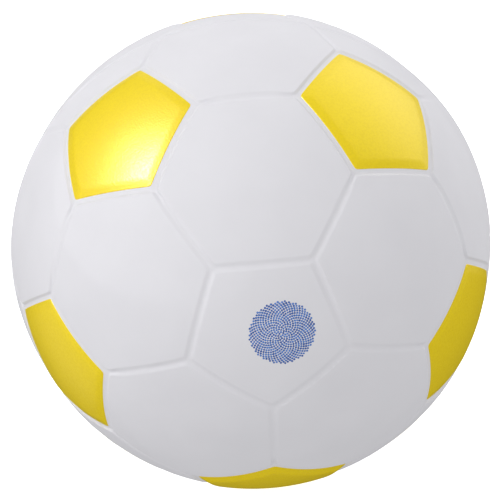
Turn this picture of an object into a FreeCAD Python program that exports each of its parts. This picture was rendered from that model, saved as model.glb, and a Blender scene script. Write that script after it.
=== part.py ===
import FreeCAD, Part
import math
import os
import Sketcher
from FreeCAD import Placement, Rotation, Vector

# A moulded foam stress ball with the panels of a football: a foam core inside a white skin that
# forms in two mould halves, yellow paint on eleven of the twelve pentagons, and a small print on
# the twelfth. +Z is up, the origin is the ball's centre, and the printed pentagon faces -Y with
# one of its sides on top. The two skin halves meet in the plane y = 0.

DIMENSIONS = (
    ("ball_diameter", "63"),
    ("skin_thickness", "1.2"),
    ("core_gap", "0.05"),
    ("seam_width", "0.8"),
    ("seam_depth", "0.3"),
    ("moat_width", "1.55"),
    ("panel_round", "0.22"),
    ("corner_round", "0.8"),
    ("paint_thickness", "0.12"),
    ("print_diameter", "8.4"),
    ("print_thickness", "0.05"),
    ("print_offset", "1.8"),
    ("dot_diameter", "0.9"),
    ("dot_pitch", "1.2"),
)

# Angles of a football's faces, seen from its centre. They follow from the shape alone.
RING_ANGLE = math.degrees(math.atan(2))  # between the axes of neighbouring pentagons
GOLDEN = (1 + math.sqrt(5)) / 2
EDGE = 2 / math.sqrt(1 + 9 * GOLDEN**2)  # side of a face where the corners are at radius 1


def side_angle(sides):
    """From the middle of a face to the middle of its side, in degrees."""
    to_side = EDGE / (2 * math.tan(math.pi / sides))
    to_corner = EDGE / (2 * math.sin(math.pi / sides))
    return math.degrees(math.atan(to_side / math.sqrt(1 - to_corner**2)))


def mould(name, kind):
    """A new object whose label is its name."""
    thing = doc.addObject(kind, name)
    thing.Label = name
    return thing


def origin_plane(body, role):
    return next(feature for feature in body.Origin.OriginFeatures if feature.Role == role)


def bound(sketch, constraint, name, expression):
    """Add a constraint whose value follows the spreadsheet."""
    index = sketch.addConstraint(constraint)
    sketch.renameConstraint(index, name)
    sketch.setExpression(f"Constraints.{name}", expression)


def upright_sketch(body, name):
    sketch = body.newObject("Sketcher::SketchObject", name)
    sketch.AttachmentSupport = (origin_plane(body, "XZ_Plane"), [""])
    sketch.MapMode = "FlatFace"
    return sketch


def ring_sketch(body, name, foot, top):
    """Half a ring under the X axis, which turns about that axis into a hollow ball."""
    sketch = upright_sketch(body, name)
    centre = Vector(0, 0, 0)
    low, high = 30, 32
    for radius in (high, low):
        circle = Part.Circle(centre, Vector(0, 0, 1), radius)
        sketch.addGeometry(Part.ArcOfCircle(circle, math.pi, 2 * math.pi))
    for side in (-1, 1):
        sketch.addGeometry(Part.LineSegment(Vector(side * high, 0, 0), Vector(side * low, 0, 0)))
    for line, end in ((2, 1), (3, 2)):
        sketch.addConstraint(Sketcher.Constraint("Coincident", 0, end, line, 1))
        sketch.addConstraint(Sketcher.Constraint("Coincident", 1, end, line, 2))
        sketch.addConstraint(Sketcher.Constraint("PointOnObject", line, 1, -1))
        sketch.addConstraint(Sketcher.Constraint("PointOnObject", line, 2, -1))
    for arc in (0, 1):
        sketch.addConstraint(Sketcher.Constraint("Coincident", arc, 3, -1, 1))
    bound(sketch, Sketcher.Constraint("Radius", 0, high), "top", top)
    bound(sketch, Sketcher.Constraint("Radius", 1, low), "foot", foot)
    return sketch


def wall_sketch(body, name, angle, inset):
    """A right-angled triangle whose long side lies on the wall and is centred on the ball's centre."""
    sketch = upright_sketch(body, name)
    reach = 60
    lean = math.radians(angle)
    along = Vector(math.sin(lean), math.cos(lean), 0) * reach
    apex = Vector(math.cos(lean), -math.sin(lean), 0) * reach
    for start, end in ((along * -1, along), (along, apex), (apex, along * -1)):
        sketch.addGeometry(Part.LineSegment(start, end))
    for line in range(3):
        sketch.addConstraint(Sketcher.Constraint("Coincident", line, 2, (line + 1) % 3, 1))
    sketch.addConstraint(Sketcher.Constraint("Symmetric", 0, 1, 0, 2, -1, 1))
    sketch.addConstraint(Sketcher.Constraint("Equal", 1, 2))
    sketch.addConstraint(Sketcher.Constraint("Perpendicular", 1, 2))
    length = Sketcher.Constraint("Distance", 0, 2 * reach)
    bound(sketch, length, "reach", "2 * Sheet.ball_diameter")
    slope = f"{90 - angle} deg + 2 rad * ({inset}) / Sheet.ball_diameter"
    bound(sketch, Sketcher.Constraint("Angle", 0, math.pi / 2 - lean), "slope", slope)
    return sketch


def panel(name, sides, inset, foot, top, edge_round):
    """A raised panel on the +Z side, with a wall towards +X, its walls set in from the seam's middle."""
    body = mould(name, "PartDesign::Body")
    hollow_ball = body.newObject("PartDesign::Revolution", f"{name}_ball")
    hollow_ball.Profile = ring_sketch(body, f"{name}_section", foot, top)
    hollow_ball.ReferenceAxis = (hollow_ball.Profile[0], ["H_Axis"])
    wall = body.newObject("PartDesign::Pocket", f"{name}_wall")
    wall.Profile = wall_sketch(body, f"{name}_outside", side_angle(sides), inset)
    wall.Type = "ThroughAll"
    wall.SideType = "Symmetric"
    walls = body.newObject("PartDesign::PolarPattern", f"{name}_walls")
    walls.Originals = [wall]
    walls.Axis = (wall.Profile[0], ["V_Axis"])
    walls.Occurrences = sides
    body.Tip = walls
    doc.recompute()

    corners = body.newObject("PartDesign::Fillet", f"{name}_corners")
    corners.Base = (walls, edge_names(walls, is_straight))
    corners.setExpression("Radius", "Sheet.corner_round")
    doc.recompute()

    rim = body.newObject("PartDesign::Fillet", f"{name}_rim")
    radius = hollow_ball.Profile[0].getDatum("top").Value
    rim.Base = (corners, edge_names(corners, lambda edge: lies_on_sphere(edge, radius)))
    rim.setExpression("Radius", edge_round)
    return body


def edge_names(feature, wanted):
    edges = enumerate(feature.Shape.Edges, 1)
    return [f"Edge{n}" for n, edge in edges if not edge.Degenerated and wanted(edge)]


def is_straight(edge):
    return isinstance(edge.Curve, Part.Line)


def lies_on_sphere(edge, radius):
    middle = edge.valueAt((edge.FirstParameter + edge.LastParameter) / 2)
    points = [vertex.Point for vertex in edge.Vertexes] + [middle]
    return all(abs(point.Length - radius) < 1e-4 for point in points)


def ball(name, radius):
    """A sphere, turned so that its own seam line runs along no panel's wall."""
    sphere = mould(name, "Part::Sphere")
    sphere.setExpression("Radius", radius)
    sphere.Placement = Placement(Vector(0, 0, 0), Rotation(Vector(1, 2, 3), 20))
    return sphere


def difference(name, base, tool):
    cut = mould(name, "Part::Cut")
    cut.Base = base
    cut.Tool = tool
    return cut


def half_space(name, towards):
    """A box that holds the front half of the ball (towards = -1) or the rear half (1)."""
    box = mould(name, "Part::Box")
    for side in ("Length", "Width", "Height"):
        box.setExpression(side, "1.2 * Sheet.ball_diameter")
    for axis in ("x", "z"):
        box.setExpression(f"Placement.Base.{axis}", "-0.6 * Sheet.ball_diameter")
    if towards < 0:
        box.setExpression("Placement.Base.y", "-1.2 * Sheet.ball_diameter")
    return box


def ring_direction(angle):
    """A direction across the front: 0 is to the right, 90 is up."""
    return Vector(math.cos(math.radians(angle)), 0, math.sin(math.radians(angle)))


def pentagon_axes():
    """Each pentagon's name with the direction of its middle."""
    front = Vector(0, -1, 0)
    ring = math.radians(RING_ANGLE)
    axes = {"front_print": front, "rear_centre": front * -1}
    sites = (("bottom", 270), ("right", 342), ("upper_right", 54), ("upper_left", 126), ("left", 198))
    for site, angle in sites:
        axes[f"front_{site}"] = front * math.cos(ring) + ring_direction(angle) * math.sin(ring)
    sites = (("top", 90), ("left", 162), ("lower_left", 234), ("lower_right", 306), ("right", 18))
    for site, angle in sites:
        axes[f"rear_{site}"] = front * -math.cos(ring) + ring_direction(angle) * math.sin(ring)
    return axes


def hexagon_axes(pentagons):
    """The directions of the twenty hexagons: each lies between three neighbouring pentagons."""
    axes = []
    close = math.radians(RING_ANGLE) + 0.01
    for i, first in enumerate(pentagons):
        for j, second in enumerate(pentagons[:i]):
            for third in pentagons[:j]:
                pairs = ((first, second), (second, third), (third, first))
                if all(a.getAngle(b) < close for a, b in pairs):
                    axes.append((first + second + third).normalize())
    return axes


def facing(axis, neighbours):
    """The placement that turns a panel from +Z to axis, with a wall towards its nearest neighbour."""
    nearest = min(neighbours, key=lambda other: other.getAngle(axis))
    across = (nearest - axis * nearest.dot(axis)).normalize()
    return Placement(Vector(0, 0, 0), Rotation(across, Vector(), axis, "ZXY"))


def copy_of(template, name, placement):
    link = mould(name, "App::Link")
    link.LinkedObject = template
    link.Placement = placement
    return link


def ink_spot(name, diameter, x, z):
    """A round bar along -Y from the ball's middle plane: what it cuts from the ink layer is a dot."""
    bar = mould(name, "Part::Cylinder")
    bar.setExpression("Radius", f"{diameter} / 2")
    bar.setExpression("Height", "Sheet.ball_diameter")
    bar.Placement = Placement(Vector(0, 0, 0), Rotation(Vector(1, 0, 0), 90))
    bar.setExpression("Placement.Base.x", x)
    bar.setExpression("Placement.Base.z", z)
    return bar


def checked(parts):
    """Stop unless every object was worked out and every part is one sound closed shape."""
    for thing in doc.Objects:
        if {"Invalid", "Error"} & set(thing.State):
            raise RuntimeError(f"{thing.Label} could not be worked out: {thing.State}")
    for part in parts:
        if part.Shape.isNull() or not part.Shape.isValid() or not part.Shape.Solids:
            raise RuntimeError(f"{part.Label} is not a sound solid")


doc = FreeCAD.newDocument("StressBall")
sheet = doc.addObject("Spreadsheet::Sheet", "Sheet")
for row, (alias, value) in enumerate(DIMENSIONS, 1):
    sheet.set(f"A{row}", alias)
    sheet.set(f"B{row}", value)
    sheet.setAlias(f"B{row}", alias)
doc.recompute()

outside = "Sheet.ball_diameter / 2"
seam_floor = f"{outside} - Sheet.seam_depth"
hollow = f"{outside} - Sheet.skin_thickness"
buried = f"{outside} - (Sheet.skin_thickness + Sheet.seam_depth) / 2"
under_paint = f"{outside} - Sheet.paint_thickness"
white_inset = "Sheet.seam_width / 2"
yellow_inset = "Sheet.moat_width - Sheet.seam_width / 2"
painted_inset = f"{yellow_inset} + Sheet.paint_thickness"
paint_round = "Sheet.panel_round - Sheet.paint_thickness / 2"

pentagons = pentagon_axes()
hexagons = hexagon_axes(list(pentagons.values()))

# Panels, once each, on the +Z side.
white_hexagon = panel("white_hexagon", 6, white_inset, buried, outside, "Sheet.panel_round")
white_pentagon = panel("white_pentagon", 5, white_inset, buried, outside, "Sheet.panel_round")
pad_under_paint = panel("pad_under_paint", 5, painted_inset, buried, under_paint, paint_round)
paint_outside = panel("paint_outside", 5, yellow_inset, seam_floor, outside, "Sheet.panel_round")

# The skin: a hollow ball with the thirty-two panels raised on it, parted into its two halves.
panels = []
for number, axis in enumerate(hexagons, 1):
    place = facing(axis, list(pentagons.values()))
    panels.append(copy_of(white_hexagon, f"hexagon_{number}", place))
pentagon_places = {}
for site, axis in pentagons.items():
    pentagon_places[site] = facing(axis, hexagons)
    template = white_pentagon if site == "front_print" else pad_under_paint
    panels.append(copy_of(template, f"pentagon_{site}", pentagon_places[site]))
whole = mould("panelled_ball", "Part::MultiFuse")
whole.Shapes = [ball("seam_floor_ball", seam_floor)] + panels
shell = difference("whole_skin", whole, ball("hollow_ball", hollow))

parts = []
for node, towards in (("front_skin", -1), ("rear_skin", 1)):
    skin = mould(node, "Part::Common")
    skin.Base = shell
    skin.Tool = half_space(f"{node}_side", towards)
    parts.append(skin)

parts.append(ball("foam_core", f"{hollow} - Sheet.core_gap"))

# Yellow paint: a thin cup over the top and the walls of each painted pad.
for site, place in pentagon_places.items():
    if site == "front_print":
        continue
    film = difference(f"{site}_yellow_paint", paint_outside, pad_under_paint)
    film.Placement = place
    parts.append(film)

# The print: a round spot of ink with rows of shrinking dots that leave it on its left.
spots = [ink_spot("print_disc", "Sheet.print_diameter", "Sheet.print_offset", "0")]
for row in range(1, 5):
    reach = f"(Sheet.print_diameter / 2 + {row} * Sheet.dot_pitch)"
    for step in range(6):
        angle = 105 + 20 * step + 10 * (row % 2)
        spots.append(
            ink_spot(
                f"print_dot_{row}_{step + 1}",
                f"Sheet.dot_diameter * {1.15 - 0.15 * row:.2f}",
                f"Sheet.print_offset + {reach} * cos({angle} deg)",
                f"{reach} * sin({angle} deg)",
            )
        )
outline = mould("print_outline", "Part::Compound")
outline.Links = spots
ink_layer = difference(
    "ink_layer",
    ball("ink_outside_ball", f"{outside} + Sheet.print_thickness"),
    ball("ink_inside_ball", outside),
)
ink = mould("front_print_ink", "Part::Common")
ink.Base = outline
ink.Tool = ink_layer
parts.append(ink)

doc.recompute()
checked(parts)
os.makedirs("parts", exist_ok=True)
for part in parts:
    part.Shape.exportStep(f"parts/{part.Label}.step")
    print(f"{part.Label}: {len(part.Shape.Solids)} solid, {part.Shape.Volume:.1f} mm3")
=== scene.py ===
import math

import bmesh
import bpy
import numpy as np
from mathutils import Matrix, Vector


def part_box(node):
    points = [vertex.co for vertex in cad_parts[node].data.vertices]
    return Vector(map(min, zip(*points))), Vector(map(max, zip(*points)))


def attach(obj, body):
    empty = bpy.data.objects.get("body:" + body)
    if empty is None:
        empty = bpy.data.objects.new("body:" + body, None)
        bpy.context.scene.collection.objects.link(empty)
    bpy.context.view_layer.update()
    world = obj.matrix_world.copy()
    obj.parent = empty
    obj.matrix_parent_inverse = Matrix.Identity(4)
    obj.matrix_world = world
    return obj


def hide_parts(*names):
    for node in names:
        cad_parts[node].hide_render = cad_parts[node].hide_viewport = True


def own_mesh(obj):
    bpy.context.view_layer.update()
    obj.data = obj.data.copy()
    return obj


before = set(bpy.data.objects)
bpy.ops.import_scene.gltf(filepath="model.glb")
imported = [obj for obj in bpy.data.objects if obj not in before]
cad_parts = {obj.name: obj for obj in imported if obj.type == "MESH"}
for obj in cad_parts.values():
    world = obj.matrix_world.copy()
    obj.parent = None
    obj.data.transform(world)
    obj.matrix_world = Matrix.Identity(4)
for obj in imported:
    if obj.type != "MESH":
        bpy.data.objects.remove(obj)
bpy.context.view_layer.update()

mm = 0.001
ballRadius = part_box("rear_skin")[1].z / mm  # everything below is worked out in mm, then scaled
frontDirection = np.array([0.0, -1.0, 0.0])
frontBody, rearBody = "front_half", "rear_half"


pattern = {
    "stepsPerSide": 22,
    "evenSteps": 0.45,  # share of even spacing along an edge, the rest crowds towards the corners
    "innerRings": (0.66, 0.36, 0.14),  # inside the last level line, as shares of the way out
    "cornerSoftness": 0.13,  # mm, a larger value rounds the panels' corners more
    "widestRay": 1.3,
    "halvings": 34,
}
farInside = 99.0  # mm, more than any panel's half width


def unit(vectors):
    return vectors / np.linalg.norm(vectors, axis=-1, keepdims=True)


def acrossFront(degrees):
    # a direction seen from the front: 0 is to the right, 90 is up
    turn = math.radians(degrees)
    return np.array([math.cos(turn), 0.0, math.sin(turn)])


def pentagonAxes():
    # the golden solid's twelve corners: two poles, and two rings of five at atan(2) from them
    tilt = math.atan(2)
    axes = {"front_print": frontDirection, "rear_centre": -frontDirection}
    frontSites = {"bottom": 270, "right": 342, "upper_right": 54, "upper_left": 126, "left": 198}
    rearSites = {"top": 90, "left": 162, "lower_left": 234, "lower_right": 306, "right": 18}
    for site, turn in frontSites.items():
        axes["front_" + site] = frontDirection * math.cos(tilt) + acrossFront(turn) * math.sin(tilt)
    for site, turn in rearSites.items():
        axes["rear_" + site] = -frontDirection * math.cos(tilt) + acrossFront(turn) * math.sin(tilt)
    return axes


def hexagonAxes(pentagons):
    # a hexagon lies in the middle of every three pentagons that are next to each other
    near = math.cos(math.atan(2)) - 0.01
    axes = []
    for i in range(len(pentagons)):
        for j in range(i):
            for k in range(j):
                trio = pentagons[[i, j, k]]
                if min(trio[0] @ trio[1], trio[1] @ trio[2], trio[2] @ trio[0]) > near:
                    axes.append(unit(trio.sum(0)))
    return np.array(axes)


def sideAngle(sides):
    # angle from a face's middle to the middle of its side, on a ball of radius 1
    golden = (1 + math.sqrt(5)) / 2
    edge = 2 / math.sqrt(1 + 9 * golden**2)
    toCorner = edge / (2 * math.sin(math.pi / sides))
    toSide = edge / (2 * math.tan(math.pi / sides))
    return math.atan(toSide / math.sqrt(1 - toCorner**2))


def makePanel(axis, sides, neighbours, kind):
    # corners lie half a step either side of the direction to a neighbour across a side
    nearest = neighbours[np.argmax(neighbours @ axis)]
    across = unit(nearest - axis * (nearest @ axis))
    along = np.cross(axis, across)
    toCorner = math.tan(sideAngle(sides)) / math.cos(math.pi / sides)
    turns = (np.arange(sides) + 0.5) * 2 * math.pi / sides
    corners = unit(axis + toCorner * (np.outer(np.cos(turns), across) + np.outer(np.sin(turns), along)))
    inward = unit(np.cross(corners, np.roll(corners, -1, 0)))
    return {"axis": axis, "corners": corners, "inward": inward, "kind": kind}


def sideRays(panel):
    # points along every side, closer together near the corners, as steps out from the axis
    steps = np.arange(pattern["stepsPerSide"]) / pattern["stepsPerSide"]
    even = pattern["evenSteps"]
    share = even * steps + (1 - even) * (1 - np.cos(math.pi * steps)) / 2
    start, end = panel["corners"], np.roll(panel["corners"], -1, 0)
    rim = unit(start[:, None] * (1 - share)[None, :, None] + end[:, None] * share[None, :, None])
    rim = rim.reshape(-1, 3)
    return rim, rim / (rim @ panel["axis"])[:, None] - panel["axis"]


def wallDistance(panel, directions):
    # mm to the nearest side, with the minimum softened so that level lines have round corners
    soft = pattern["cornerSoftness"]
    toSides = ballRadius * np.arcsin(np.clip(directions @ panel["inward"].T, -1, 1))
    return -soft * np.log(np.exp(-toSides / soft).sum(-1))


def levelLine(panel, rays, level, shift):
    # where each ray from the middle crosses the line at that distance from the sides, by halving
    low, high = np.zeros(len(rays)), np.full(len(rays), pattern["widestRay"])
    for halving in range(pattern["halvings"]):
        middle = (low + high) / 2
        inside = wallDistance(panel, unit(panel["axis"] + middle[:, None] * rays)) > level
        low, high = np.where(inside, middle, low), np.where(inside, high, middle)
    return unit(panel["axis"] + low[:, None] * rays + shift)


def rise(distance, start, end):
    share = np.clip((distance - start) / (end - start), 0, 1)
    return share * share * (3 - 2 * share)


# mm, pads that came out of the mould lower or higher than the others
sunkPads = {"rear_top": 0.2, "front_bottom": -0.22}

pentagonSites = pentagonAxes()
pentagonList = np.array(list(pentagonSites.values()))
hexagonList = hexagonAxes(pentagonList)
panels = [makePanel(axis, 6, pentagonList, "hexagon") for axis in hexagonList]
pentagonPanels = {}
for site, axis in pentagonSites.items():
    kind = "printed" if site == "front_print" else "painted"
    pentagonPanels[site] = makePanel(axis, 5, hexagonList, kind)
    pentagonPanels[site]["sunk"] = sunkPads.get(site, 0.0)
panels += pentagonPanels.values()
paintedPanels = [panel for panel in panels if panel["kind"] == "painted"]
print("pattern:", len(panels), "panels on a ball of radius", round(ballRadius, 2), "mm")


relief = {
    "seamDepth": 0.16,  # between white panels
    "whiteWall": (0.04, 0.72),  # mm from the seam's middle, foot and top of a white panel's wall
    "moatDepth": 0.29,  # around a painted panel
    "moatWall": (0.10, 0.46),
    "moatReach": (0.8, 2.4),
    "paintedWall": (0.05, 1.90),
    "padSunk": 0.05,  # a painted panel's top lies this far under its neighbours
    "filmThickness": 0.05,
    "skinThickness": 1.2,
    "wallRows": {"painted": 11, "printed": 9, "hexagon": 9},
    "topSteps": (0.12, 0.4, 1.0, 2.0, 3.4),  # mm inside a wall's top
    "unevenness": 0.035,
    "waves": (  # direction and pace, phase, size
        ((3.1, 1.7, -2.2), 0.4, 1.0),
        ((-4.3, 2.9, 3.7), 1.9, 0.6),
        ((5.9, -6.1, 4.8), 3.3, 0.4),
        ((-8.7, -7.9, 9.4), 5.0, 0.25),
    ),
    "partingDip": 0.13,
    "partingWidth": 0.28,
    "swelling": 0.36,  # the ball is a little fuller along the parting line
    "swellingWidth": 2.1,
    "rearStep": 0.05,  # the rear mould half was a little larger
    "stepRise": (-0.02, 0.16),
    "rearFade": 3.0,
    "partingCuts": (0.06, 0.14, 0.24, 0.6, 1.3, 2.4, 3.8, 5.6),  # extra rows on both sides of the line
    "cutReach": 6,
    "filledBetween": ("front_upper_right", "rear_right"),  # here the coat has run into the seam
    "filledShare": 0.95,
    "filledReach": 5.5,
}


def unevenRadius(directions):
    # slow waves in a few directions, as foam that has set unevenly
    total = sum(size * np.sin(directions @ np.array(wave) + phase)
                for wave, phase, size in relief["waves"])
    return relief["unevenness"] * total


filledSeam = unit(sum(pentagonSites[site] for site in relief["filledBetween"]))


def nearPaint(directions):
    # 1 beside and inside a painted panel, fading to 0 where a seam runs between white panels
    outside = -np.max([wallDistance(panel, directions) for panel in paintedPanels], axis=0)
    return 1 - rise(outside, *relief["moatReach"])


def panelDepth(panel, directions, distance):
    # how far the skin lies under the ball's outline: a seam floor, a wall, then the panel's top
    near = nearPaint(directions)
    floor = relief["seamDepth"] * (1 - near) + relief["moatDepth"] * near
    away = np.arccos(np.clip(directions @ filledSeam, -1, 1)) * ballRadius
    floor = floor * (1 - relief["filledShare"] * np.exp(-((away / relief["filledReach"]) ** 2)))
    if panel["kind"] == "painted":
        climb = rise(distance, *relief["paintedWall"])
        return floor * (1 - climb) + (relief["padSunk"] + panel["sunk"]) * climb
    foot, top = (a * (1 - near) + b * near for a, b in zip(relief["whiteWall"], relief["moatWall"]))
    return floor * (1 - rise(distance, foot, top))


def wallLevels(kind):
    foot, top = relief["paintedWall"] if kind == "painted" else relief["whiteWall"]
    wall = list(np.linspace(foot, top, relief["wallRows"][kind]))
    return np.array(wall + [top + step for step in relief["topSteps"]])


def gridFaces(rows, columns, firstIndex):
    # quads between closed rings, and a fan from the last ring to the point that follows it
    here = np.arange(columns)
    after = (here + 1) % columns
    start = firstIndex + np.arange(rows - 1)[:, None] * columns
    quads = np.stack([start + here, start + after, start + columns + after, start + columns + here], -1)
    quads = quads.reshape(-1, 4)
    last = firstIndex + (rows - 1) * columns
    tip = np.full(columns, firstIndex + rows * columns)
    triangles = np.concatenate([quads[:, [0, 1, 2]], quads[:, [0, 2, 3]]])
    return np.concatenate([triangles, np.stack([last + here, last + after, tip], -1)])


def ringsOf(panel, levels, shift, sharpRim):
    # closed rings of directions from the rim to near the middle, and their distance from the sides
    rim, rays = sideRays(panel)
    rings = [levelLine(panel, rays, level, shift) for level in levels]
    flat = rings[-1] / (rings[-1] @ panel["axis"])[:, None] - panel["axis"] - shift
    rings += [unit(panel["axis"] + share * flat + shift) for share in pattern["innerRings"]]
    if sharpRim:
        rings.insert(0, rim)
        levels = np.concatenate([[-1.0], levels])  # the rim lies outside every wall
    deep = np.full(len(pattern["innerRings"]), farInside)
    return np.array(rings), np.concatenate([levels, deep])


def skinSurface():
    # every panel's rings, from the seam's middle over the wall to the panel's middle
    points, faces, count = [], [], 0
    for panel in panels:
        rings, levels = ringsOf(panel, wallLevels(panel["kind"]), np.zeros(3), True)
        directions = np.concatenate([rings.reshape(-1, 3), panel["axis"][None]])
        inset = np.append(np.repeat(levels, rings.shape[1]), farInside)
        depths = panelDepth(panel, directions, inset)
        points.append(directions * (ballRadius - depths)[:, None])
        faces.append(gridFaces(rings.shape[0], rings.shape[1], count))
        count += len(directions)
    return np.concatenate(points), np.concatenate(faces)


def withParting(points):
    # the parting line: a broad swelling, a fine dip, and a rear half that stands a little proud
    side = points[:, 1]
    away = np.abs(side)
    swelling = relief["swelling"] * np.exp(-((side / relief["swellingWidth"]) ** 2))
    dip = relief["partingDip"] * np.exp(-((away / relief["partingWidth"]) ** 2))
    step = relief["rearStep"] * rise(side, *relief["stepRise"]) * np.exp(-away / relief["rearFade"])
    directions = unit(points)
    return points + directions * (swelling - dip + step + unevenRadius(directions))[:, None]


def makeObject(name, points, faces, sharpAngle=50):
    mesh = bpy.data.meshes.new(name)
    mesh.vertices.add(len(points))
    mesh.vertices.foreach_set("co", (points * mm).astype(np.float32).ravel())
    mesh.loops.add(faces.size)
    mesh.loops.foreach_set("vertex_index", faces.astype(np.int32).ravel())
    mesh.polygons.add(len(faces))
    mesh.polygons.foreach_set("loop_start", np.arange(0, faces.size, 3, dtype=np.int32))
    mesh.polygons.foreach_set("loop_total", np.full(len(faces), 3, dtype=np.int32))
    mesh.polygons.foreach_set("use_smooth", np.ones(len(faces), bool))
    mesh.update(calc_edges=True)
    mesh.validate()
    mesh.set_sharp_from_angle(angle=math.radians(sharpAngle))
    thing = bpy.data.objects.new(name, mesh)
    bpy.context.scene.collection.objects.link(thing)
    return thing


def readMesh(mesh):
    points = np.empty(len(mesh.vertices) * 3, np.float32)
    mesh.vertices.foreach_get("co", points)
    faces = np.empty(len(mesh.loops), np.int32)
    mesh.loops.foreach_get("vertex_index", faces)
    return points.reshape(-1, 3).astype(float), faces.reshape(-1, 3)


def halfSkin(whole, towards):
    # one half of the panelled ball, cut at the parting plane, as plain arrays
    half = whole.copy()
    everything = half.verts[:] + half.edges[:] + half.faces[:]
    rear = towards > 0
    bmesh.ops.bisect_plane(half, geom=everything, plane_co=(0, 0, 0), plane_no=(0, 1, 0),
                           dist=1e-6, clear_outer=not rear, clear_inner=rear)
    bmesh.ops.triangulate(half, faces=half.faces[:])
    mesh = bpy.data.meshes.new("half")
    half.to_mesh(mesh)
    half.free()
    points, faces = readMesh(mesh)
    bpy.data.meshes.remove(mesh)
    return points, faces


def closedShell(points, faces, innerRadius):
    # the outer surface, its copy on the inner sphere turned inside out, and the rim between them
    inner = unit(points) * innerRadius
    edges = np.concatenate([faces[:, [0, 1]], faces[:, [1, 2]], faces[:, [2, 0]]])
    key = np.sort(edges, 1) @ np.array([len(points), 1])
    first, uses = np.unique(key, return_index=True, return_counts=True)[1:]
    start, end = edges[first[uses == 1]].T
    offset = len(points)
    rim = np.concatenate([np.stack([end, start, start + offset], 1),
                          np.stack([end, start + offset, end + offset], 1)])
    return np.concatenate([points, inner]), np.concatenate([faces, faces[:, ::-1] + offset, rim])


def makeSkins():
    points, faces = skinSurface()
    mesh = bpy.data.meshes.new("wholeSkin")
    mesh.from_pydata(points, [], faces)
    whole = bmesh.new()
    whole.from_mesh(mesh)
    bpy.data.meshes.remove(mesh)
    bmesh.ops.remove_doubles(whole, verts=whole.verts[:], dist=1e-4)
    reach = relief["cutReach"]
    for offset in relief["partingCuts"]:
        for side in (-offset, offset):
            near = [face for face in whole.faces if abs(face.calc_center_median().y - side) < reach]
            edges = list({edge for face in near for edge in face.edges})
            verts = list({vert for face in near for vert in face.verts})
            bmesh.ops.bisect_plane(whole, geom=verts + edges + near, plane_co=(0, side, 0),
                                   plane_no=(0, 1, 0), dist=1e-6)
    skins = {}
    for node, body, towards in (("front_skin", frontBody, -1), ("rear_skin", rearBody, 1)):
        half, halfFaces = halfSkin(whole, towards)
        shaped = withParting(half)
        shaped[np.abs(half[:, 1]) < 1e-5, 1] = 0  # the cut rim stays in the parting plane
        innerRadius = ballRadius - relief["skinThickness"]
        skin = makeObject(node + "_panels", *closedShell(shaped, halfFaces, innerRadius))
        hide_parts(node)
        skins[node] = (skin, body)
        print("skin:", skin.name, len(skin.data.polygons), "triangles")
    whole.free()
    return skins


skins = makeSkins()


paint = {
    "edge": 0.43,  # mm inside the seam's middle
    "feather": 0.06,
    "hem": 0.02,  # between the first rings
    "wallRings": 20,
    "wallReach": 0.7,  # mm past the wall's top
    "topSteps": (1.2, 2.0, 3.4),
    "edgeSink": 0.004,
    "underSink": 0.008,
    # how far the paint mask sat off its pad, in mm, across and up as seen from outside
    "maskShift": {
        "front_upper_left": (-0.28, 0.0),
        "front_upper_right": (0.10, 0.05),
        "front_left": (-0.30, -0.15),
        "front_right": (0.10, -0.20),
        "front_bottom": (0.05, -0.08),
        "rear_top": (0.0, -1.15),
        "rear_left": (0.12, 0.05),
        "rear_lower_right": (-0.08, 0.1),
    },
}


def makeFilm(site, panel):
    # follows the pad from the paint's edge up the wall and over the top, a film above the skin
    body = frontBody if site.startswith("front") else rearBody
    right = unit(np.cross([0.0, 0.0, 1.0], panel["axis"]))
    up = np.cross(panel["axis"], right)
    across, upward = paint["maskShift"].get(site, (0.0, 0.0))
    shift = (right * across + up * upward) / ballRadius
    foot, top = relief["paintedWall"]
    edge = paint["edge"]
    feathered = edge + paint["feather"]
    start = max(foot, feathered + paint["hem"])
    wall = np.linspace(start, top + paint["wallReach"], paint["wallRings"])
    levels = [edge, edge + paint["hem"], feathered, *wall]
    levels = np.array(levels + [top + step for step in paint["topSteps"]])
    rings, levels = ringsOf(panel, levels, shift, False)
    columns = rings.shape[1]
    directions = np.concatenate([rings.reshape(-1, 3), panel["axis"][None]])
    inset = np.append(np.repeat(levels, columns), farInside)
    skinLevel = ballRadius - panelDepth(panel, directions, wallDistance(panel, directions))
    build = relief["filmThickness"] * np.sqrt(np.clip((inset - edge) / paint["feather"], 0, 1))
    unevenness = unevenRadius(directions)
    sunk = paint["edgeSink"] * (build == 0)
    upper = directions * (skinLevel + build + unevenness - sunk)[:, None]
    under = directions * (skinLevel + unevenness - paint["underSink"])[:, None]
    faces = gridFaces(rings.shape[0], columns, 0)
    here = np.arange(columns)
    after = (here + 1) % columns
    offset = len(upper)
    hem = np.concatenate([np.stack([after, here, here + offset], 1),
                          np.stack([after, here + offset, after + offset], 1)])
    faces = np.concatenate([faces, faces[:, ::-1] + offset, hem])
    film = makeObject(site + "_film", np.concatenate([upper, under]), faces)
    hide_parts(site + "_yellow_paint")
    return film, body


films = {}
for site, panel in pentagonPanels.items():
    if panel["kind"] == "painted":
        films[site] = makeFilm(site, panel)
print("paint:", len(films), "films")


ink = {
    "centre": (1.8, 0.0),  # mm across and up from the pentagon's middle
    "discRadius": 4.2,
    "dots": 560,
    "dotRadius": (0.135, 0.155),
    "height": 0.012,
    "liftShare": (0.4, 1.0),
    "topShare": 0.85,
    "footShare": -0.5,  # the foot ring sinks into the panel by half the height
    "sides": 12,
    "tints": 3,
    "seed": 7,
}


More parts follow.
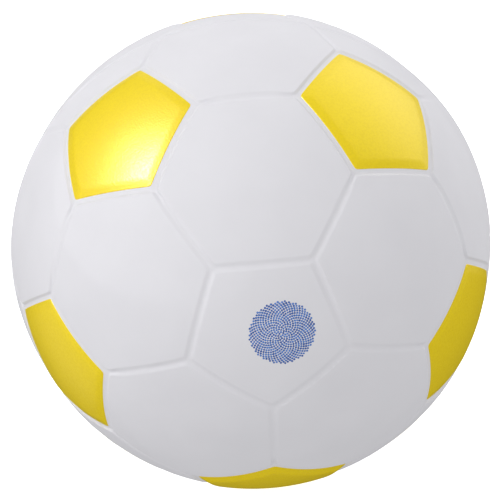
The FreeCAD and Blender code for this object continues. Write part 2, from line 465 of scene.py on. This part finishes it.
def inkPlaces():
    # an even round halftone: each dot is a golden angle on from the last, and equal areas further out
    chance = np.random.default_rng(ink["seed"])
    count = np.arange(ink["dots"])
    turns = count * math.pi * (3 - math.sqrt(5))
    reach = ink["discRadius"] * np.sqrt((count + 0.5) / ink["dots"])
    spots = np.stack([np.cos(turns), np.sin(turns)], 1) * reach[:, None]
    sizes = chance.uniform(*ink["dotRadius"], len(spots))
    lifts = chance.uniform(*ink["liftShare"], len(spots)) * ink["height"]
    return spots + np.array(ink["centre"]), sizes, lifts, chance.integers(0, ink["tints"], len(spots))


def makePrint():
    # each dot is a flat-topped button: a tip, a top ring and a foot ring on the panel's surface
    spots, sizes, lifts, tints = inkPlaces()
    turns = np.arange(ink["sides"]) * 2 * math.pi / ink["sides"]
    circle = np.stack([np.cos(turns), np.sin(turns)], 1)
    flat = [spots[:, None] + sizes[:, None, None] * share * circle for share in (ink["topShare"], 1.0)]
    flat = np.concatenate([spots[:, None], *flat], 1)
    lift = np.concatenate([[1.0], np.ones(ink["sides"]), np.full(ink["sides"], ink["footShare"])])
    depth = -np.sqrt(ballRadius**2 - (flat**2).sum(-1))
    directions = unit(np.stack([flat[..., 0], depth, flat[..., 1]], -1))
    radius = ballRadius + unevenRadius(directions) + lifts[:, None] * lift
    points = directions * radius[..., None]
    here = 1 + np.arange(ink["sides"])
    after = 1 + (np.arange(ink["sides"]) + 1) % ink["sides"]
    tip = np.zeros(ink["sides"], int)
    down = ink["sides"]
    button = np.concatenate([np.stack([tip, here, after], 1),
                             np.stack([here, here + down, after + down], 1),
                             np.stack([here, after + down, after], 1),
                             np.stack([tip + 1 + down, after + down, here + down], 1)[1:-1]])
    perDot = 1 + 2 * ink["sides"]
    faces = (button[None] + (np.arange(len(spots)) * perDot)[:, None, None]).reshape(-1, 3)
    dots = makeObject("front_print_dots", points.reshape(-1, 3), faces)
    shade = dots.data.attributes.new("tint", "FLOAT", "POINT")
    shade.data.foreach_set("value", np.repeat(tints / (ink["tints"] - 1), perDot).astype(np.float32))
    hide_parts("front_print_ink")
    print("print:", len(spots), "dots")
    return dots


printDots = makePrint()


core = {"clearance": 0.05, "around": 240, "along": 120, "cellSize": 0.9, "cellDepth": 0.04}


def makeCore():
    # a ball by longitude and latitude whose radius dips in small cells
    along = np.linspace(0, math.pi, core["along"] + 1)[1:-1]
    around = np.arange(core["around"]) * 2 * math.pi / core["around"]
    polar, turn = np.meshgrid(along, around, indexing="ij")
    level = np.sin(polar)
    directions = np.stack([level * np.cos(turn), level * np.sin(turn), np.cos(polar)], -1).reshape(-1, 3)
    poles = np.array([[0, 0, -1.0], [0, 0, 1.0]])
    everywhere = np.concatenate([directions, poles])
    pitch = ballRadius / core["cellSize"]
    cells = np.prod([np.cos(everywhere[:, axis] * pitch) for axis in range(3)], axis=0)
    outer = ballRadius - relief["skinThickness"] - core["clearance"]
    points = everywhere * (outer - core["cellDepth"] * (1 + cells) / 2)[:, None]
    rows = len(along)
    faces = gridFaces(rows, core["around"], 0)[:, ::-1]
    here = np.arange(core["around"])
    after = (here + 1) % core["around"]
    cap = np.stack([here, after, np.full(core["around"], len(points) - 1)], 1)
    return makeObject("foam_core_ball", points, np.concatenate([faces, cap]))


foamCore = makeCore()
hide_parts("foam_core")
print("core:", len(foamCore.data.polygons), "triangles")


# grain and mottle are sizes in mm; a pattern or a tint mixes the two colours
finish = {
    "white": {"colours": ((0.775, 0.768, 0.805, 1), (0.755, 0.748, 0.785, 1)), "rough": (0.66, 0.76),
              "gloss": 0.1, "metallic": 0.0, "grain": 0.5, "grainHeight": 0.006, "mottle": 9.0},
    "yellow": {"colours": ((0.945, 0.715, 0.004, 1), (0.905, 0.675, 0.003, 1)), "rough": (0.38, 0.44),
               "gloss": 0.34, "metallic": 0.06, "grain": 0.28, "grainHeight": 0.026, "mottle": 5.0},
    "blue": {"colours": ((0.04, 0.12, 0.42, 1), (0.09, 0.22, 0.60, 1)), "rough": (0.45, 0.55),
             "gloss": 0.4, "metallic": 0.0, "grain": 0.1, "grainHeight": 0.002, "mottle": 1.0},
    "foam": {"colours": ((0.78, 0.74, 0.62, 1), (0.62, 0.57, 0.46, 1)), "rough": (0.8, 0.95),
             "gloss": 0.3, "metallic": 0.0, "grain": 0.7, "grainHeight": 0.12, "mottle": 4.0},
}


def makeGrainGroup():
    # sprayed coat: a fine orange peel with slow mottling. Height is in mm, Mottle and Speck 0 to 1
    group = bpy.data.node_groups.new("sprayedCoat", "ShaderNodeTree")
    face = group.interface
    for name, value in (("Grain Size", 0.3), ("Grain Height", 0.004), ("Mottle Size", 6.0)):
        socket = face.new_socket(name, in_out="INPUT", socket_type="NodeSocketFloat")
        socket.default_value = value
    for name in ("Height", "Mottle", "Speck"):
        face.new_socket(name, in_out="OUTPUT", socket_type="NodeSocketFloat")
    nodes, links = group.nodes, group.links
    given = nodes.new("NodeGroupInput")
    result = nodes.new("NodeGroupOutput")
    place = nodes.new("ShaderNodeTexCoord")
    outputs = {}
    for name, size, detail in (("grain", "Grain Size", 3.0), ("mottle", "Mottle Size", 4.0)):
        scale = nodes.new("ShaderNodeMath")
        scale.operation = "DIVIDE"
        scale.inputs[0].default_value = 1 / mm
        links.new(given.outputs[size], scale.inputs[1])
        noise = nodes.new("ShaderNodeTexNoise")
        noise.inputs["Detail"].default_value = detail
        links.new(place.outputs["Object"], noise.inputs["Vector"])
        links.new(scale.outputs[0], noise.inputs["Scale"])
        outputs[name] = noise.outputs["Fac"]
    height = nodes.new("ShaderNodeMath")
    height.operation = "MULTIPLY"
    links.new(outputs["grain"], height.inputs[0])
    links.new(given.outputs["Grain Height"], height.inputs[1])
    spread = {}
    for name, low, high in (("mottle", 0.35, 0.65), ("grain", 0.42, 0.62)):
        ramp = nodes.new("ShaderNodeMapRange")
        ramp.inputs["From Min"].default_value = low
        ramp.inputs["From Max"].default_value = high
        links.new(outputs[name], ramp.inputs["Value"])
        spread[name] = ramp.outputs["Result"]
    links.new(height.outputs[0], result.inputs["Height"])
    links.new(spread["mottle"], result.inputs["Mottle"])
    links.new(spread["grain"], result.inputs["Speck"])
    return group


sprayedCoat = makeGrainGroup()


def mixed(nodes, links, factor, first, second):
    blend = nodes.new("ShaderNodeMix")
    blend.data_type = "RGBA"
    blend.inputs[6].default_value = first
    blend.inputs[7].default_value = second
    links.new(factor, blend.inputs[0])
    return blend.outputs[2]


def coatedMaterial(name, look, variedBy="Mottle", tintName=None):
    material = bpy.data.materials.new(name)
    material.use_nodes = True
    nodes, links = material.node_tree.nodes, material.node_tree.links
    shader = nodes["Principled BSDF"]
    coat = nodes.new("ShaderNodeGroup")
    coat.node_tree = sprayedCoat
    coat.inputs["Grain Size"].default_value = look["grain"]
    coat.inputs["Grain Height"].default_value = look["grainHeight"]
    coat.inputs["Mottle Size"].default_value = look["mottle"]
    factor = coat.outputs[variedBy]
    if tintName:
        tint = nodes.new("ShaderNodeAttribute")
        tint.attribute_name = tintName
        factor = tint.outputs["Fac"]
    links.new(mixed(nodes, links, factor, *look["colours"]), shader.inputs["Base Color"])
    shader.inputs["Specular IOR Level"].default_value = look["gloss"]
    shader.inputs["Metallic"].default_value = look["metallic"]
    rough = nodes.new("ShaderNodeMapRange")
    rough.inputs["To Min"].default_value, rough.inputs["To Max"].default_value = look["rough"]
    links.new(coat.outputs["Speck"], rough.inputs["Value"])
    links.new(rough.outputs["Result"], shader.inputs["Roughness"])
    bump = nodes.new("ShaderNodeBump")
    bump.inputs["Distance"].default_value = mm
    bump.inputs["Strength"].default_value = 1.0
    links.new(coat.outputs["Height"], bump.inputs["Height"])
    links.new(bump.outputs["Normal"], shader.inputs["Normal"])
    return material


whiteSkin = coatedMaterial("whiteSkin", finish["white"])
yellowPaint = coatedMaterial("yellowPaint", finish["yellow"], variedBy="Speck")
blueInk = coatedMaterial("blueInk", finish["blue"], tintName="tint")
rawFoam = coatedMaterial("rawFoam", finish["foam"])


def settle(piece, body, material):
    # each piece gets its material and a mesh of its own, and is carried by its half's body
    piece.data.materials.append(material)
    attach(piece, body)
    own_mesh(piece)


for skin, body in skins.values():
    settle(skin, body, whiteSkin)
for film, body in films.values():
    settle(film, body, yellowPaint)
settle(printDots, frontBody, blueInk)
settle(foamCore, rearBody, rawFoam)


studio = {
    "floorSize": 6.0,
    "floorColour": (0.8, 0.8, 0.8, 1),
    "floorGlow": 0.92,
    "floorRough": 0.9,
    "sky": 0.70,
    # seen from the camera: right, up and towards it; metres; watts
    "softBoxes": {
        "key": {"towards": (-0.69, 0.47, 0.55), "away": 0.6, "size": 0.25, "power": 0.84},
        "backLeft": {"towards": (-0.87, -0.35, -0.3), "away": 0.7, "size": 0.6, "power": 1.0},
        "backRight": {"towards": (0.8, 0.45, -0.4), "away": 0.7, "size": 0.6, "power": 1.05},
        "backTop": {"towards": (0.05, 0.85, -0.5), "away": 0.7, "size": 0.6, "power": 1.0},
        "front": {"towards": (-0.25, 0.2, 0.95), "away": 0.9, "size": 0.5, "power": 0.75},
    },
    # lamps that only glossy finishes pick up
    "gleams": {
        "gleamLeft": {"towards": (-0.69, 0.50, 0.52), "away": 0.6, "size": 0.15, "power": 11.0},
        "gleamRight": {"towards": (0.6, 0.75, -0.2), "away": 0.6, "size": 0.5, "power": 1.35},
    },
}
view = {
    "azimuth": -2.42,
    "elevation": 20.24,
    "roll": -4.02,
    "distance": 18.0,  # ball radii
    "lens": 308.0,
    "clipStart": 0.01,
    "aside": (-0.19, -0.13),  # mm, right and up
}


def cameraAxes():
    # the camera's right, up and backward directions as a matrix's columns
    turn, lift, roll = (math.radians(view[name]) for name in ("azimuth", "elevation", "roll"))
    back = Vector((math.sin(turn) * math.cos(lift), -math.cos(turn) * math.cos(lift), math.sin(lift)))
    level = Vector((math.cos(turn), math.sin(turn), 0))
    right = level * math.cos(roll) + back.cross(level) * math.sin(roll)
    return Matrix((right, back.cross(right), back)).transposed()


def makeFloor():
    bpy.ops.mesh.primitive_plane_add(size=studio["floorSize"], location=(0, 0, 0))
    floor = bpy.context.object
    floor.name = "floor"
    floor.data.transform(Matrix.Translation((0, 0, -ballRadius * mm)))
    material = bpy.data.materials.new("paleFloor")
    material.use_nodes = True
    shader = material.node_tree.nodes["Principled BSDF"]
    shader.inputs["Base Color"].default_value = studio["floorColour"]
    shader.inputs["Roughness"].default_value = studio["floorRough"]
    shader.inputs["Emission Color"].default_value = (1, 1, 1, 1)
    shader.inputs["Emission Strength"].default_value = studio["floorGlow"]
    floor.data.materials.append(material)
    floor.visible_diffuse = False  # the sky below stands in for its bounce
    floor.visible_glossy = False


def addSoftBox(name, box):
    lamp = bpy.data.lights.new(name, "AREA")
    lamp.size = box["size"]
    lamp.energy = box["power"]
    softBox = bpy.data.objects.new(name, lamp)
    direction = (cameraAxes() @ Vector(box["towards"])).normalized()
    softBox.location = direction * box["away"]
    softBox.rotation_mode = "QUATERNION"
    softBox.rotation_quaternion = direction.to_track_quat("Z", "Y")
    softBox.visible_camera = False
    bpy.context.scene.collection.objects.link(softBox)
    return softBox


def makeLights():
    world = bpy.data.worlds.new("studio")
    world.use_nodes = True
    sky = world.node_tree.nodes["Background"]
    sky.inputs["Color"].default_value = (1, 1, 1, 1)
    sky.inputs["Strength"].default_value = studio["sky"]
    world.cycles_visibility.glossy = False  # only the soft boxes show in the paint
    bpy.context.scene.world = world
    for name, box in studio["softBoxes"].items():
        addSoftBox(name, box)
    for name, box in studio["gleams"].items():
        addSoftBox(name, box).visible_diffuse = False


def makeCamera():
    axes = cameraAxes()
    camera = bpy.data.objects.new("camera", bpy.data.cameras.new("camera"))
    camera.data.lens = view["lens"]
    camera.data.clip_start = view["clipStart"]
    camera.matrix_world = axes.to_4x4()
    camera.location = axes @ Vector((*view["aside"], view["distance"] * ballRadius)) * mm
    bpy.context.scene.collection.objects.link(camera)
    bpy.context.scene.camera = camera


makeFloor()
makeLights()
makeCamera()
bpy.context.scene.view_settings.view_transform = "Standard"
